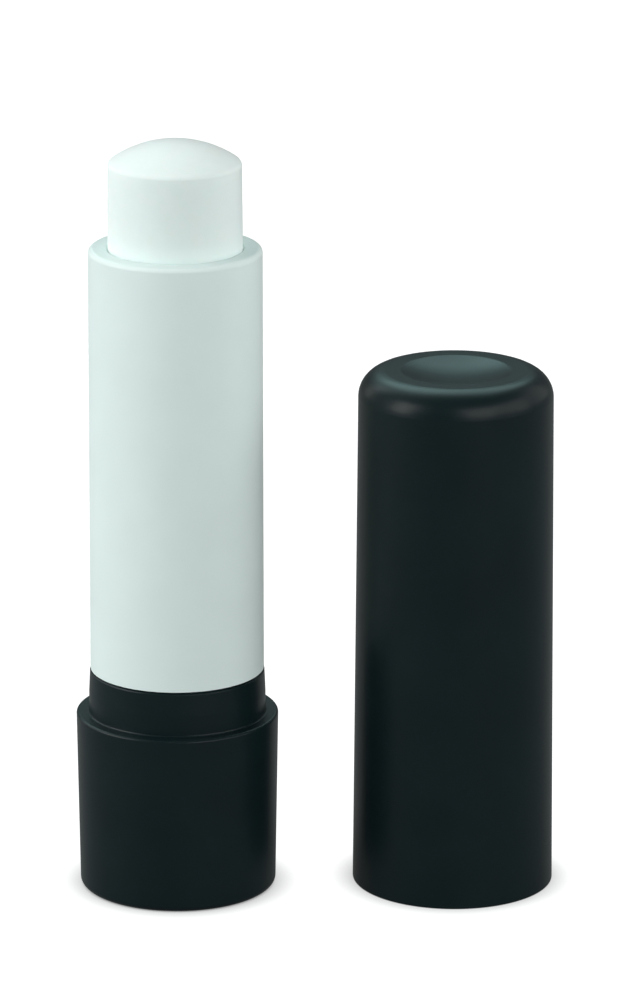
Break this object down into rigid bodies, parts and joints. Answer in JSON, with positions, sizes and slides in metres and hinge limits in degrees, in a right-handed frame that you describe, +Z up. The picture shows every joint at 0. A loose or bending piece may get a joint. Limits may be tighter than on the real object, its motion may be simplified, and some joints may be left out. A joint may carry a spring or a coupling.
{
  "type": "lip balm stick",
  "caption": "Twist-up lip balm stick with a black turning base, a white barrel, a domed white balm raised by a screw, and a black dished cap standing beside it.",
  "frame": {"origin": "centre of the base's flat underside, on the surface that the stick and its cap stand on", "axes": "+Z up along the stick; +X to the right, towards the cap; +Y away from the viewer"},
  "size_m": [0.045, 0.0203, 0.0719],
  "materials": {
    "black_shell": "greenish black moulded plastic with a fine soft-touch matte surface",
    "white_barrel": "cool white moulded polypropylene, satin",
    "mechanism": "natural milky moulded plastic, slightly glossy",
    "wax": "cast balm wax, smooth, soft and slightly translucent, with a low sheen"
  },
  "bodies": {
    "base": {"base_shell": "black_shell", "spindle": "mechanism"},
    "barrel": {"barrel": "white_barrel"},
    "carrier": {"elevator": "mechanism", "balm": "wax"},
    "cap": {"cap": "black_shell"}
  },
  "joints": [
    {"name": "barrel_twist", "type": "hinge", "parent": "base", "child": "barrel", "pos_m": [0, 0, 0.0185], "axis": [0, 0, -1], "range_deg": [-1008, 2124]},
    {"name": "balm_lift", "type": "slide", "parent": "barrel", "child": "carrier", "axis": [0, 0, 1], "range_m": [-0.0112, 0.0236]},
    {"name": "cap_lift", "type": "slide", "parent": "base", "child": "cap", "axis": [0, 0, 1], "range_m": [0, 0.06]}
  ],
  "couplings": [
    {"joint": "balm_lift", "follows": "barrel_twist", "m_per_rad": 0.00063662}
  ]
}
